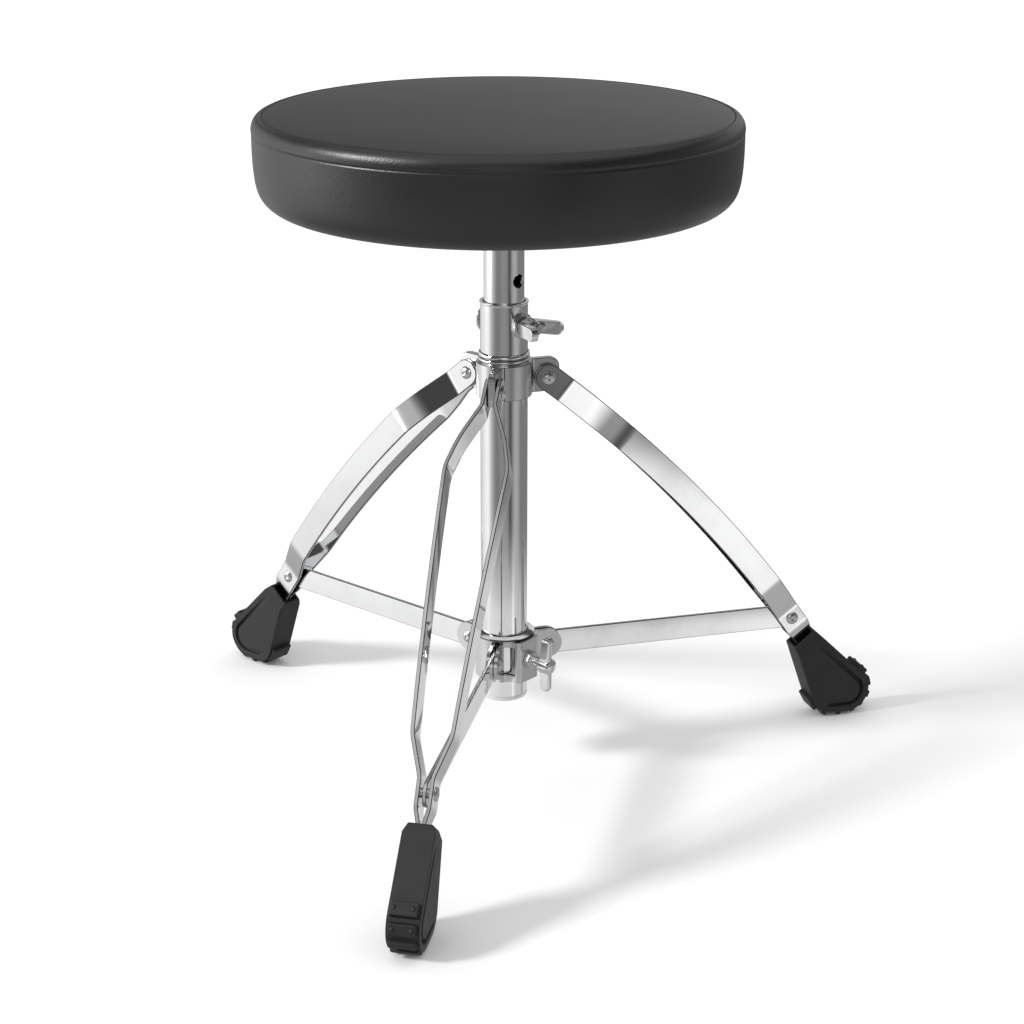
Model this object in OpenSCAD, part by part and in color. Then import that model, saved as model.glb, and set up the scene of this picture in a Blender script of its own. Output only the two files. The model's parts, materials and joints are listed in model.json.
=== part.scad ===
// Folding drum throne: round padded seat on a height-adjustable post,
// carried by a tube with three double-braced folding legs.
// Origin on the tube's axis at the floor, +Z up, millimetres.
// Legs stand at -90, 30 and 150 degrees, and both wing screws face -30 degrees.

/* [Seat] */
// Widest diameter of the seat, at the lower stitched seam
seat_d = 299; // [240:1:360]
// Height of the seat's underside above the floor
seat_z = 375; // [370:1:460]
// Thickness of the cushion up to the top edge seam
cushion_h = 55; // [45:1:80]
// Rise of the crowned top above the edge seam
crown_h = 4; // [1:0.5:8]
// Height of the band between the two seams
band_h = 9; // [5:0.5:14]
// Thickness of the cover
cover_t = 1.2; // [0.8:0.1:2]
// Width of the cover's hem turned under the board
hem_w = 20; // [12:1:30]
// Thickness of the plywood board
board_t = 12; // [9:0.5:18]
// Side of the square on which the four seat screws stand
screw_pitch = 64; // [56:1:80]
// Diameter of the seat screws
screw_d = 6; // [5:0.5:8]
// Diameter of the steel seat plate
plate_d = 110; // [104:1:150]
// Thickness of the steel seat plate
plate_t = 3; // [2:0.5:4]
// Length of the socket that takes the post, below the plate
socket_h = 20; // [16:1:24]
// Wall of the socket
socket_wall = 3; // [2:0.5:4]

/* [Post and tube] */
// Wall of the seat post
post_wall = 1.6; // [1.2:0.1:2.5]
// Length of post held inside the tube at the drawn height
post_engaged = 120; // [115:1:180]
// Distance between the post's height holes
hole_pitch = 28; // [20:1:32]
// Diameter of the main tube
tube_d = 30; // [25:0.5:36]
// Wall of the main tube
tube_wall = 1.5; // [1.2:0.1:1.8]
// Wall of the nylon sleeve between the tube and the post
sleeve_t = 0.72; // [0.6:0.02:1.2]
// Height of the main tube's top rim
tube_top = 313; // [305:1:325]
// Height of the main tube's bottom, where its cap sits
tube_bottom = 50; // [45:1:54]
// Depth of the tube's end cap below the tube
cap_h = 3; // [2:0.5:5]
// Running clearance round the post
post_play = 0.08; // [0.03:0.01:0.1]

/* [Height lock] */
// Height of the lock bolt
lock_z = 299; // [294:1:302]
// Diameter of the lock bolt and of the wing bolt below
bolt_d = 8; // [6:0.5:9]
// Diameter of the lock bolt's domed head
head_d = 18; // [14:0.5:20]
// Diameter of the washer under the wing nut
washer_d = 16.5; // [14:0.5:20]
// Spread of the wings, tip to tip
wing_span = 34; // [26:1:40]

/* [Legs] */
// Distance of the leg hinges out from the main tube's wall
hinge_reach = 13; // [12:0.5:16]
// Height of the leg hinges
hinge_z = 261.5; // [258:0.5:264]
// Distance of the brace joints from the axis
joint_r = 203.5; // [170:0.5:245]
// Height of the brace joints
joint_z = 75.7; // [70:0.5:85]
// Radius of the leg's upward bow, seen from the side
leg_bow_r = 900; // [700:10:2000]
// Width of the flat bars
strip_w = 17; // [14:0.5:20.5]
// Thickness of the flat bars
strip_t = 2.5; // [2:0.1:3]
// Gap between a leg's two bars at the hinge and at the brace joint
strip_gap = 5.4; // [5:0.1:7]
// Gap between a leg's two bars inside the foot
foot_gap = 3.2; // [3:0.1:4]
// Gap between a leg's two bars at the upper bend
wide_gap = 36; // [30:1:42]
// Gap between a leg's two bars at the lower bend
narrow_gap = 21; // [16:1:26]
// Diameter of all leg and brace rivets
rivet_d = 6; // [5:0.5:7]
// Diameter of the rivets' domed heads
rivet_head_d = 8.4; // [8:0.2:10]
// Running clearance round rivets and bolts
pin_play = 0.06; // [0.03:0.01:0.1]

/* [Braces] */
// Width of the brace bars
brace_w = 16; // [13:0.5:17]
// Thickness of the brace bars
brace_t = 2.5; // [2:0.1:2.6]
// Distance of the braces' inner pivots out from the main tube's wall
pivot_reach = 14; // [13.5:0.5:17]
// Height of the braces' inner pivots
pivot_z = 79.4; // [78:0.2:82]

/* [Brackets] */
// Height of the upper leg bracket
bracket_h = 22; // [20:1:24]
// Thickness of the upper bracket's band
band_t = 2.5; // [2:0.1:3]
// Height of the pressed ring that the upper bracket hangs under
ring_h = 7; // [5:0.5:9]
// Height of the sliding lower bracket
slider_h = 31; // [30:1:34]
// Height of the sliding bracket's underside
slider_z = 62; // [60:0.5:64]
// Running clearance of the sliding bracket on the tube
slider_play = 0.1; // [0.05:0.01:0.1]
// Thickness of the sliding bracket's sheet
sheet_t = 2.2; // [1.8:0.1:2.4]

/* [Feet] */
// Thickness of the rubber feet across the leg
foot_w = 22; // [18:0.5:26.5]
// Radius of the foot's round end
foot_end_r = 22.5; // [19:0.5:25]
// Distance of the round end's centre out from the brace joint
foot_reach = 37.5; // [33:0.5:42]
// Height of the tread bars on the round end
tread_h = 2.5; // [1.5:0.5:4]
// Width of the tread bars across the foot
tread_w = 17; // [12:1:18]

/* [Hidden] */
$fn = 48;

chrome = "#d8dadd";
steel = "#9fa3a8";
black = "#1c1c1e";

// Clearance between faces of parts that move past each other
face_play = 0.3;
leg_angles = [-90, 30, 150];
lock_angle = -30;

tube_r = tube_d / 2;
bore_r = tube_r - tube_wall;
post_r = bore_r - sleeve_t - post_play;
post_d = 2 * post_r;
hinge_r = tube_r + hinge_reach;
pivot_r = tube_r + pivot_reach;
foot_r = joint_r + foot_reach;

// The leg's own frame: X runs from the hinge to the brace joint, Y across the
// leg and Z outward, square to both
chord = norm([joint_r - hinge_r, hinge_z - joint_z]);
leg_tilt = atan2(hinge_z - joint_z, joint_r - hinge_r);
// Where the bars bend sideways, measured along the chord from the hinge
bend_1 = 15;
bend_2 = 55;
bend_3 = chord - 32;
bend_4 = chord - 8;
bend_5 = chord + 9;
foot_mouth = chord + 17;
bar_end = chord + 42;
bar_outer = strip_gap / 2 + strip_t;
bow_drop = sqrt(leg_bow_r * leg_bow_r - chord * chord / 4);

// Height of the bars' middle line over the chord, x along it from the hinge
function bow(x) = sqrt(leg_bow_r * leg_bow_r - (x - chord / 2) * (x - chord / 2)) - bow_drop;

// A point of the leg's own frame as [distance from the axis, height]
function leg_point(x, n) = [hinge_r + x * cos(leg_tilt) + n * sin(leg_tilt),
    hinge_z - x * sin(leg_tilt) + n * cos(leg_tilt)];

module at_leg(n) rotate(leg_angles[n - 1]) children();

module in_leg_frame() translate([hinge_r, 0, hinge_z]) rotate([0, leg_tilt, 0]) children();

// A flat outline in the leg's plane, drawn with X outward and Y up, made into a
// plate that is centred on the leg's plane
module plate(t) rotate([90, 0, 0]) linear_extrude(t, center = true) children();

module tube(r, wall, h) difference() {
    cylinder(r = r, h = h);
    translate([0, 0, -1]) cylinder(r = r - wall, h = h + 2);
}

// A domed head that stands on Z = 0
module dome(d, h) rotate_extrude() intersection() {
    translate([0, h - dome_r(d, h)]) circle(dome_r(d, h));
    square([d, h]);
}
function dome_r(d, h) = (d * d / 4 + h * h) / (2 * h);

// A shaft along X from x0 to x1
module shaft_x(d, x0, x1) translate([x0, 0, 0]) rotate([0, 90, 0]) cylinder(d = d, h = x1 - x0);

// A shaft along Y, centred on the leg's plane
module shaft_y(d, length) rotate([90, 0, 0]) cylinder(d = d, h = length, center = true);

// ---- Seat ----

seat_r = seat_d / 2;
edge_z = seat_z + cushion_h;
edge_in = 4;
base_in = 14;
side_in = 5;
edge_r = seat_r - edge_in;
base_r = seat_r - base_in;
side_r = seat_r - side_in;
// Height of the two steps in which the side runs in to the hem, and the inset of the first
hem_corner = 8;
hem_rise = 6;
hem_in = 2;
crown_r = (edge_r * edge_r + crown_h * crown_h) / (2 * crown_h);
// Room for the cover and its turn round the board's edge
board_in = 2;
board_r = base_r - board_in;

// Half outline of the cushion, drawn in by t all round
module cushion_outline(t) {
    translate([0, seat_z + t]) square([base_r - t, hem_corner]);
    polygon([[0, seat_z + hem_corner], [side_r - t, seat_z + hem_corner + hem_rise],
        [seat_r - t, edge_z - band_h], [edge_r - t, edge_z - t], [0, edge_z - t]]);
    polygon([[base_r - t, seat_z + t], [side_r - t - hem_in, seat_z + hem_corner],
        [side_r - t, seat_z + hem_corner + hem_rise], [0, seat_z + hem_corner + hem_rise], [0, seat_z + t]]);
    intersection() {
        translate([0, edge_z + crown_h - t - crown_r]) circle(crown_r, $fn = 360);
        translate([0, edge_z - t - 1]) square([edge_r - t, crown_h + 2]);
    }
}

module seat_cover() color(black) rotate_extrude($fn = 96) difference() {
    cushion_outline(0);
    cushion_outline(cover_t);
    translate([0, seat_z - 1]) square([board_r - hem_w, cover_t + 2]);
}

module seat_foam() color("#c9b27a") difference() {
    rotate_extrude($fn = 96) cushion_outline(cover_t);
    translate([0, 0, seat_z]) cylinder(r = board_r, h = cover_t + board_t);
    seat_screw_places() translate([0, 0, seat_z]) cylinder(d = tee_d, h = cover_t + board_t + tee_t);
}

module seat_board() color("#b98d5a") difference() {
    translate([0, 0, board_z]) cylinder(r = board_r, h = board_t);
    seat_screw_places() translate([0, 0, seat_z]) cylinder(d = tee_bore, h = board_t + 5);
}

board_z = seat_z + cover_t;
tee_d = 19;
tee_t = 1.2;
tee_bore = screw_d + 2;
tee_l = 8;

module seat_screw_places() for (x = [-1, 1], y = [-1, 1])
    translate([x * screw_pitch / 2, y * screw_pitch / 2, 0]) children();

// Flanged nuts pressed into the board from above
module tee_nuts() color(steel) seat_screw_places() difference() {
    union() {
        translate([0, 0, board_z + board_t]) cylinder(d = tee_d, h = tee_t);
        translate([0, 0, board_z + board_t - tee_l]) cylinder(d = tee_bore, h = tee_l);
    }
    translate([0, 0, board_z]) cylinder(d = screw_d, h = board_t + 5);
}

staple_count = 24;
staple_l = 10;
staple_w = 0.8;
staple_t = 0.6;

// Staples lie across the hem and hold it to the board
module cover_staples() color(steel) for (i = [0:staple_count - 1])
    rotate(360 / staple_count * (i + 0.5))
        translate([board_r - hem_w / 2 - staple_w / 2, -staple_l / 2, seat_z - staple_t])
            cube([staple_w, staple_l, staple_t]);

plate_top = board_z;
plate_z = plate_top - plate_t;
socket_bottom = plate_z - socket_h;
post_top = plate_z;
clamp_z = socket_bottom + socket_h / 2;
clamp_d = 6;
clamp_head = 4;
clamp_play = 0.1;
clamp_stand = 3;
clamp_hex = 10;
boss_l = 5;
boss_wall = 4;

// Pressed disc under the board, with the socket welded to it
module seat_plate() color(chrome) difference() {
    union() {
        translate([0, 0, plate_z]) cylinder(d = plate_d, h = plate_t);
        translate([0, 0, socket_bottom]) cylinder(r = post_r + socket_wall, h = socket_h);
        translate([0, 0, clamp_z]) rotate(lock_angle) shaft_x(clamp_d + 2 * boss_wall, post_r, boss_out);
    }
    translate([0, 0, socket_bottom - 1]) cylinder(r = post_r, h = socket_h + 1);
    seat_screw_places() translate([0, 0, plate_z - 1]) cylinder(d = screw_d + 0.5, h = plate_t + 2);
    translate([0, 0, clamp_z]) rotate(lock_angle) shaft_x(clamp_d, 0, boss_out + 1);
}

boss_out = post_r + socket_wall + boss_l;

module hex_head(across, h) cylinder(r = across / 2 / cos(30), h = h, $fn = 6);

screw_hex = 9.9;
screw_head = 4;
module seat_screws() color(steel) seat_screw_places() {
    translate([0, 0, plate_z - screw_head]) hex_head(screw_hex, screw_head);
    translate([0, 0, plate_z]) cylinder(d = screw_d, h = plate_t + board_t);
}

// Set bolt that pinches the post in the socket
module seat_clamp_bolt() color(steel) translate([0, 0, clamp_z]) rotate(lock_angle) {
    shaft_x(clamp_d, post_r + clamp_play, boss_out + clamp_stand);
    translate([boss_out + clamp_stand, 0, 0]) rotate([0, 90, 0]) hex_head(clamp_hex, clamp_head);
}

// ---- Post and tube ----

post_bottom = tube_top - post_engaged;
hole_d = bolt_d + 1;

module lock_axis(z = lock_z) translate([0, 0, z]) rotate(lock_angle) children();

module seat_post() color(chrome) difference() {
    translate([0, 0, post_bottom]) tube(post_r, post_wall, post_top - post_bottom);
    for (i = [-3:1]) lock_axis(lock_z + i * hole_pitch) shaft_x(hole_d, -post_d, post_d);
}

plug_l = 10;
plug_rim = 2;
module post_plug() color(black) {
    translate([0, 0, post_bottom]) cylinder(r = post_r - post_wall, h = plug_l);
    translate([0, 0, post_bottom - plug_rim]) cylinder(r = post_r, h = plug_rim);
}

rim_h = 1.2;
rim_t = 0.5;
module main_tube() color(chrome) difference() {
    union() {
        translate([0, 0, tube_bottom]) tube(tube_r, tube_wall, tube_top - tube_bottom);
        translate([0, 0, tube_top - rim_h]) tube(tube_r + rim_t, tube_wall + rim_t, rim_h);
    }
    lock_axis() shaft_x(hole_d, -tube_d, tube_d);
}

sleeve_sink = 0.5;
// Nylon sleeve that guides the post in the top of the tube
module tube_bushing() color("#e8e6df") difference() {
    translate([0, 0, bracket_top]) tube(bore_r, bore_r - post_r - post_play, tube_top - bracket_top - sleeve_sink);
    lock_axis() shaft_x(hole_d, -tube_d, tube_d);
}

// The hinges sit below the middle of the bracket
hinge_drop = 1.5;
bracket_top = hinge_z + bracket_h / 2 + hinge_drop;
bracket_z = bracket_top - bracket_h;

ring_t = 0.6;
bead_r = 1.5;

// Ring with two rolled beads, pressed on the tube above the bracket
module support_ring() color(chrome) translate([0, 0, bracket_top]) difference() {
    rotate_extrude() {
        square([tube_r + ring_t, ring_h]);
        for (z = [0.3, 0.75]) translate([tube_r, z * ring_h]) circle(bead_r);
    }
    translate([0, 0, -5]) cylinder(r = tube_r, h = ring_h + 10);
}

module tube_end_cap() color("#b9bbbd") {
    translate([0, 0, tube_bottom - cap_h]) cylinder(r = tube_r, h = cap_h);
    translate([0, 0, tube_bottom]) cylinder(r = bore_r, h = plug_l);
}

// ---- Height lock ----

shank_in = post_r + face_play;
head_h = 4;
washer_t = 1.6;
nut_play = 0.1;
nut_in = tube_r + washer_t + nut_play;
hub_d = 13;
hub_l = 9;
stud_end = 1.5;
stud_out = nut_in + hub_l + stud_end;

// Carriage bolt whose shank stops short of the post on both sides
module height_bolt() color(chrome) lock_axis() {
    shaft_x(bolt_d, shank_in, stud_out);
    shaft_x(bolt_d, -tube_r - 0.5, -shank_in);
    translate([-tube_r, 0, 0]) rotate([0, -90, 0]) dome(head_d, head_h);
}

module height_washer() color(chrome) lock_axis() difference() {
    shaft_x(washer_d, tube_r, tube_r + washer_t);
    shaft_x(bolt_d, tube_r - 1, tube_r + washer_t + 1);
}

wing_w = 8;
wing_t = 4.5;
wing_reach = 16;

// A wing from the hub to its tip, in the plane of X and Y, with a round end
module wing(tip_x, tip_y, t) rotate([0, 0, atan2(tip_y, tip_x)]) {
    reach = norm([tip_x, tip_y]);
    translate([0, -t / 2, -wing_w / 2]) cube([reach - wing_w / 2, t, wing_w]);
    translate([reach - wing_w / 2, 0, 0]) rotate([90, 0, 0]) cylinder(d = wing_w, h = t, center = true);
}

module height_wing_nut() color(chrome) lock_axis() difference() {
    union() {
        shaft_x(hub_d, nut_in, nut_in + hub_l);
        for (side = [-1, 1]) translate([nut_in + hub_l / 2, side * hub_d / 4, 0])
            wing(wing_reach, side * (wing_span / 2 - hub_d / 4), wing_t);
    }
    shaft_x(bolt_d + 2 * pin_play, nut_in - 1, stud_out + 20);
}

// ---- Upper bracket and hinge rivets ----

ear_t = strip_gap - 2 * face_play;
ear_end = 8;
ear_out = hinge_r + ear_end;
ear_corner = 6;

// Ear outline from the tube to a rounded outer edge
module ear_outline(z0, z1) {
    translate([0, z0]) square([ear_out - ear_corner, z1 - z0]);
    translate([0, z0 + ear_corner]) square([ear_out, z1 - z0 - 2 * ear_corner]);
    for (z = [z0 + ear_corner, z1 - ear_corner])
        translate([ear_out - ear_corner, z]) circle(ear_corner);
}

module leg_bracket() color(chrome) difference() {
    union() {
        translate([0, 0, bracket_z]) cylinder(r = tube_r + band_t, h = bracket_h);
        for (n = [1:3]) at_leg(n) plate(ear_t) ear_outline(bracket_z, bracket_top);
    }
    translate([0, 0, bracket_z - 1]) cylinder(r = tube_r, h = bracket_h + 2);
    for (n = [1:3]) at_leg(n) translate([hinge_r, 0, hinge_z]) shaft_y(rivet_d, ear_t + 2);
}

head_gap = 0.2;
rivet_head_h = 2;

// A rivet across a stack of the given half width, with a domed head each side
module rivet(half, d = rivet_d) {
    shaft_y(d, 2 * half);
    for (side = [-90, 90]) rotate([side, 0, 0]) translate([0, 0, half]) dome(rivet_head_d, rivet_head_h);
}

module hinge_rivet(n) color(chrome) at_leg(n)
    translate([hinge_r, 0, hinge_z]) rivet(bar_outer + head_gap);

// ---- Legs ----

// Side view of a bar: an arc through the hinge and the brace joint
module bar_side() {
    half_angle = asin(chord / 2 / leg_bow_r);
    end_angle = asin((bar_end - chord / 2) / leg_bow_r);
    far = leg_bow_r * 1.3;
    intersection() {
        translate([chord / 2, -bow_drop]) difference() {
            circle(leg_bow_r + strip_w / 2, $fn = 360);
            circle(leg_bow_r - strip_w / 2, $fn = 360);
        }
        polygon([[chord / 2, -bow_drop],
            [chord / 2 - far * sin(half_angle), far * cos(half_angle) - bow_drop],
            [chord / 2 + far * sin(end_angle), far * cos(end_angle) - bow_drop]]);
    }
    circle(d = strip_w);
}

// Top view of the left bar: bowed out between the bends, narrow at the foot
module bar_top() {
    inner = [[-strip_w, strip_gap / 2], [bend_1, strip_gap / 2], [bend_2, wide_gap / 2],
        [bend_3, narrow_gap / 2], [bend_4, strip_gap / 2], [bend_5, strip_gap / 2],
        [foot_mouth, foot_gap / 2], [bar_end + 9, foot_gap / 2]];
    last = len(inner) - 1;
    polygon(concat(inner, [for (i = [last:-1:0]) inner[i] + [0, strip_t]]));
}

module leg_bar(n, side) color(chrome) at_leg(n) in_leg_frame() difference() {
    intersection() {
        rotate([90, 0, 0]) linear_extrude(wide_gap + 4 * strip_t, center = true) bar_side();
        scale([1, side, 1]) linear_extrude(120, center = true) bar_top();
    }
    shaft_y(rivet_d + 2 * pin_play, wide_gap);
    translate([chord, 0, 0]) shaft_y(rivet_d, wide_gap);
}

// A rivet stub in each bar, so that nothing crosses the brace's path
module brace_rivet(n) color(chrome) at_leg(n) in_leg_frame() translate([chord, 0, 0]) difference() {
    rivet(bar_outer);
    cube([rivet_d + 2, strip_gap, rivet_d + 2], center = true);
}

// ---- Feet ----

foot_z = foot_end_r + tread_h;
mouth_wall = 3;
// The mouth's outer lip is cut back, so that the brace clears it as the leg folds
lip_step = 7;
mouth_low = leg_point(foot_mouth - 1, bow(foot_mouth) - strip_w / 2 - mouth_wall);
mouth_high = leg_point(foot_mouth - 1, bow(foot_mouth));
mouth_lip = leg_point(foot_mouth + lip_step, bow(foot_mouth) + strip_w / 2 - 2);

function spin(v, a) = [v[0] * cos(a) - v[1] * sin(a), v[0] * sin(a) + v[1] * cos(a)];

// Where the straight edge from p touches the circle of radius r round c
function touch(p, c, r, side) = c + spin((p - c) * r / norm(p - c), side * acos(r / norm(p - c)));

// Teardrop side view of the foot, from its mouth to its round end
module foot_side(r, inset = 0) {
    c = [foot_r, foot_z];
    low = mouth_low + [inset, -inset];
    lip = mouth_lip + [-inset / 2, -inset * 1.4];
    polygon([low, mouth_high + [0, -inset * 1.4], lip, touch(lip, c, r, -1), c, touch(low, c, r, 1)]);
    translate(c) circle(r);
}

tread_step = 21;
tread_l = 5;

module foot(n) color(black) at_leg(n) difference() {
    union() {
        plate(foot_w) foot_side(foot_end_r);
        for (i = [-3:5]) translate([foot_r, 0, foot_z]) rotate([0, -tread_step * i, 0])
            translate([-tread_l / 2, -tread_w / 2, -foot_z]) cube([tread_l, tread_w, foot_end_r]);
    }
    for (side = [-1, 1]) translate([0, side * foot_w / 2, 0])
        plate(2) difference() {
            foot_side(foot_end_r - 5, 6);
            foot_side(foot_end_r - 7, 8);
        }
    in_leg_frame() intersection() {
        rotate([90, 0, 0]) linear_extrude(foot_gap + 2 * strip_t, center = true) bar_side();
        translate([foot_mouth - 12, -foot_w, -60]) cube([60, 2 * foot_w, 120]);
    }
}

// ---- Braces ----

brace_l = norm([joint_r - pivot_r, pivot_z - joint_z]);
brace_tilt = atan2(pivot_z - joint_z, joint_r - pivot_r);

module brace(n) color(chrome) at_leg(n) translate([pivot_r, 0, pivot_z]) rotate([0, brace_tilt, 0])
    plate(brace_t) difference() {
        union() {
            for (x = [0, brace_l]) translate([x, 0]) circle(d = brace_w);
            translate([0, -brace_w / 2]) square([brace_l, brace_w]);
        }
        circle(d = rivet_d + 2 * pin_play);
        translate([brace_l, 0]) circle(d = rivet_d + 2 * pin_play);
    }

// ---- Lower bracket ----

slider_bore = tube_r + slider_play;
shell_r = tube_r + 3.5;
lip_h = 3.5;
lug_gap = brace_t + 2 * face_play;
lug_out = brace_w / 2 + 1;
pad_r = tube_r + 7;
pad_w = 20;
wing_z = slider_z + 15;
weld_nut_t = 3.5;
window = [10, 5, slider_h - lip_h - 9];
window_turn = 20;

module lower_bracket() color(chrome) difference() {
    union() {
        translate([0, 0, slider_z]) cylinder(r = shell_r, h = slider_h);
        translate([0, 0, slider_z + slider_h - lip_h]) cylinder(r = shell_r + 1.5, h = lip_h - 1);
        for (n = [1:3], side = [-1, 1]) at_leg(n)
            translate([0, side * (lug_gap + sheet_t) / 2, 0]) plate(sheet_t) {
                translate([pivot_r, pivot_z]) circle(lug_out);
                polygon([[slider_bore, slider_z + 1], [pivot_r - 2, pivot_z - lug_out + 1],
                    [pivot_r, pivot_z + lug_out], [slider_bore, pivot_z + lug_out]]);
            }
        lock_axis(slider_z + 2) translate([slider_bore, -pad_w / 2, 0])
            cube([pad_r - slider_bore, pad_w, slider_h - lip_h - 4]);
    }
    translate([0, 0, slider_z - 1]) cylinder(r = slider_bore, h = slider_h + 2);
    for (n = [1:3]) at_leg(n) {
        // Slot between the two ears, and the window that the ear was bent out of
        translate([tube_r - 1, -lug_gap / 2, slider_z - 1]) cube([pivot_r, lug_gap, slider_h - lip_h + 1]);
        rotate(window_turn) translate([tube_r - 3, -window[1] / 2, slider_z + 5]) cube(window);
        translate([pivot_r, 0, pivot_z]) shaft_y(rivet_d, 20);
    }
    lock_axis(wing_z) shaft_x(bolt_d + 2 * pin_play, 0, pad_r + 1);
}

module pivot_rivet(n) color(chrome) at_leg(n)
    translate([pivot_r, 0, pivot_z]) rivet(lug_gap / 2 + sheet_t);

module lower_weld_nut() color(steel) lock_axis(wing_z) difference() {
    translate([pad_r, 0, 0]) rotate([0, 90, 0]) hex_head(13, weld_nut_t);
    shaft_x(bolt_d + 2 * pin_play, pad_r - 1, pad_r + weld_nut_t + 1);
}

wing_at = pad_r + 13;

// Wing bolt whose tip stops just clear of the tube
module lower_wing_bolt() color(chrome) lock_axis(wing_z) {
    shaft_x(bolt_d, tube_r + face_play, wing_at);
    shaft_x(hub_d - 2, wing_at - 4, wing_at + 6);
    rotate([90, 0, 0]) for (side = [-1, 1]) translate([wing_at, 0, 0])
        wing(2, side * (wing_span / 2 + 1), wing_t);
}

seat_cover();
seat_foam();
seat_board();
cover_staples();
tee_nuts();
seat_screws();
seat_plate();
seat_clamp_bolt();
seat_post();
post_plug();
main_tube();
tube_bushing();
support_ring();
tube_end_cap();
height_bolt();
height_washer();
height_wing_nut();
leg_bracket();
hinge_rivet(1);  // leg_1_hinge_rivet
hinge_rivet(2);  // leg_2_hinge_rivet
hinge_rivet(3);  // leg_3_hinge_rivet
leg_bar(1, 1);  // leg_1_left_bar
leg_bar(2, 1);  // leg_2_left_bar
leg_bar(3, 1);  // leg_3_left_bar
leg_bar(1, -1);  // leg_1_right_bar
leg_bar(2, -1);  // leg_2_right_bar
leg_bar(3, -1);  // leg_3_right_bar
foot(1);  // leg_1_foot
foot(2);  // leg_2_foot
foot(3);  // leg_3_foot
brace_rivet(1);  // leg_1_brace_rivet
brace_rivet(2);  // leg_2_brace_rivet
brace_rivet(3);  // leg_3_brace_rivet
brace(1);  // brace_1
brace(2);  // brace_2
brace(3);  // brace_3
lower_bracket();
pivot_rivet(1);  // brace_1_pivot_rivet
pivot_rivet(2);  // brace_2_pivot_rivet
pivot_rivet(3);  // brace_3_pivot_rivet
lower_weld_nut();
lower_wing_bolt();
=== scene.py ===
"""Looks for a folding drum throne: a round padded seat on a chromed post, held by a
tube with three folding legs of doubled flat bar, each with a rubber foot."""
import json
from math import asin, atan2, cos, hypot, pi, radians, sin, sqrt, tanh

import bmesh
import bpy
from mathutils import Matrix, Vector


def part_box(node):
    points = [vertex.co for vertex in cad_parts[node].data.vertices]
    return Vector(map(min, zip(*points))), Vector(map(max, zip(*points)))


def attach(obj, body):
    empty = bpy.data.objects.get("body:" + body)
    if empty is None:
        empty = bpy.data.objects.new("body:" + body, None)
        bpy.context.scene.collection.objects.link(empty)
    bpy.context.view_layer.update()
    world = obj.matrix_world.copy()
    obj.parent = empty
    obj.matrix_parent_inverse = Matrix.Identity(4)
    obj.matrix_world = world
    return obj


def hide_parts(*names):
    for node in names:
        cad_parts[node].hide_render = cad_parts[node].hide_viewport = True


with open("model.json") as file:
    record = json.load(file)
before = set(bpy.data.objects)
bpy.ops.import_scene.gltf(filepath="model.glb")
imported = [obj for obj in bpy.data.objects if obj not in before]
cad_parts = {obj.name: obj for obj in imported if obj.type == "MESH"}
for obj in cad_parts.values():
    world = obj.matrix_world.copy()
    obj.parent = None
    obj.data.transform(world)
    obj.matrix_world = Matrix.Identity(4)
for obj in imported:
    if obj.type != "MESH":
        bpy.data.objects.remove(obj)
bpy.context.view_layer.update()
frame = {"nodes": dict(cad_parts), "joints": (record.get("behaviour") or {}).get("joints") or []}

# ---- Main tube ----
# The stand's spine is a steel tube with a rolled rim, cut to length, polished and
# chromed. A grey cap closes its foot, and everything else is fixed round it.

mm = 0.001
UP = Vector((0, 0, 1))


def node_box(node):
    """Lowest and highest corner of a CAD node, in millimetres."""
    return [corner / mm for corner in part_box(node)]


def grey(tone):
    return tone, tone, tone, 1


class Socket:
    """A socket of a finish. Sums and products on it add their Math nodes."""

    def __init__(self, tree, output=None):
        self.tree, self.output = tree, output

    def node(self, kind, settings=None, inputs=None, output=0):
        """Adds a node: first its settings, then the values or links of its inputs."""
        made = self.tree.nodes.new(kind)
        for name, value in (settings or {}).items():
            if name == "stops":
                while len(made.color_ramp.elements) < len(value):
                    made.color_ramp.elements.new(0.5)
                for stop, (place, tone) in zip(made.color_ramp.elements, value):
                    stop.position, stop.color = place, grey(tone)
            else:
                setattr(made, name, value)
        for name, value in (inputs or {}).items():
            if isinstance(value, Socket):
                self.tree.links.new(value.output, made.inputs[name])
            else:
                made.inputs[name].default_value = value
        return Socket(self.tree, made.outputs[output])

    def maths(self, operation, first, second):
        return self.node("ShaderNodeMath", {"operation": operation}, {0: first, 1: second})

    def __add__(self, other):
        return self.maths("ADD", self, other)

    def __mul__(self, other):
        return self.maths("MULTIPLY", self, other)

    def __sub__(self, other):
        return self.maths("SUBTRACT", self, other)

    def __rsub__(self, other):
        return self.maths("SUBTRACT", other, self)

    __radd__, __rmul__ = __add__, __mul__

    def between(self, low, high):
        """0 below low, 1 above high and a soft step between them."""
        return self.node("ShaderNodeMapRange", {"interpolation_type": "SMOOTHSTEP"},
                         {"Value": self, "From Min": low, "From Max": high})

    def mix(self, low, high):
        """A colour that runs from low to high as this socket goes from 0 to 1."""
        return self.node("ShaderNodeMix", {"data_type": "RGBA"}, {0: self, 6: low, 7: high}, 2)

    def noise(self, scale, detail=2.0, roughness=0.5):
        return self.node("ShaderNodeTexNoise", {}, {
            "Vector": self, "Scale": scale, "Detail": detail, "Roughness": roughness})

    def stretched(self, scale):
        return self.node("ShaderNodeMapping", {}, {"Vector": self, "Scale": scale})


def new_finish(name):
    """An empty finish and the coordinates of the piece that wears it, in metres."""
    made = bpy.data.materials.new(name)
    made.use_nodes = True
    made.node_tree.nodes.clear()
    return made, Socket(made.node_tree).node("ShaderNodeTexCoord", output="Object")


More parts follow.
